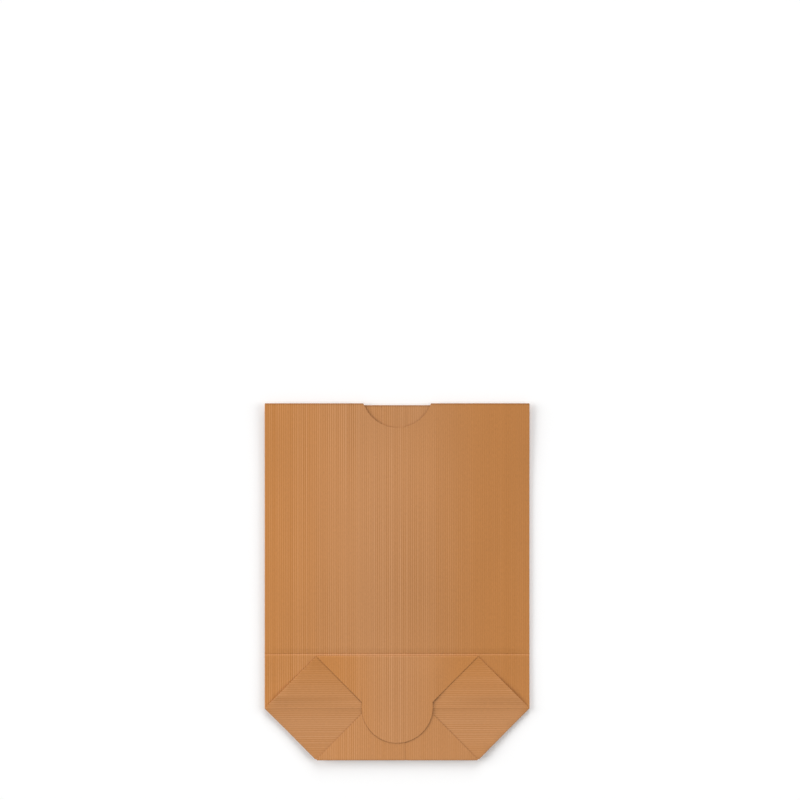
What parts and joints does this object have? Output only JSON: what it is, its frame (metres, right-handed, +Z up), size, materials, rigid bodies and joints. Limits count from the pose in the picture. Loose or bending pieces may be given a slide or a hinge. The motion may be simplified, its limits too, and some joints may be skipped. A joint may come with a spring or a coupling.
{
  "type": "paper bag",
  "caption": "Flat-packed brown kraft paper bag with a folded and glued cross bottom turned up against its front, a round-ended closing tongue and a thumb notch in its mouth.",
  "frame": {"origin": "on the table under the middle of the bag's outline; the bag lies on its back", "axes": "+Y along the bag from the folded bottom to the mouth, +Z up through the bag to the side with the bottom on it, +X across it"},
  "size_m": [0.1408, 0.1896, 0.0022],
  "materials": {
    "kraft_paper": "ribbed brown kraft paper, the outer side faintly machine-glazed"
  },
  "bodies": {
    "root": {"paper_bag": "kraft_paper"}
  },
  "joints": []
}
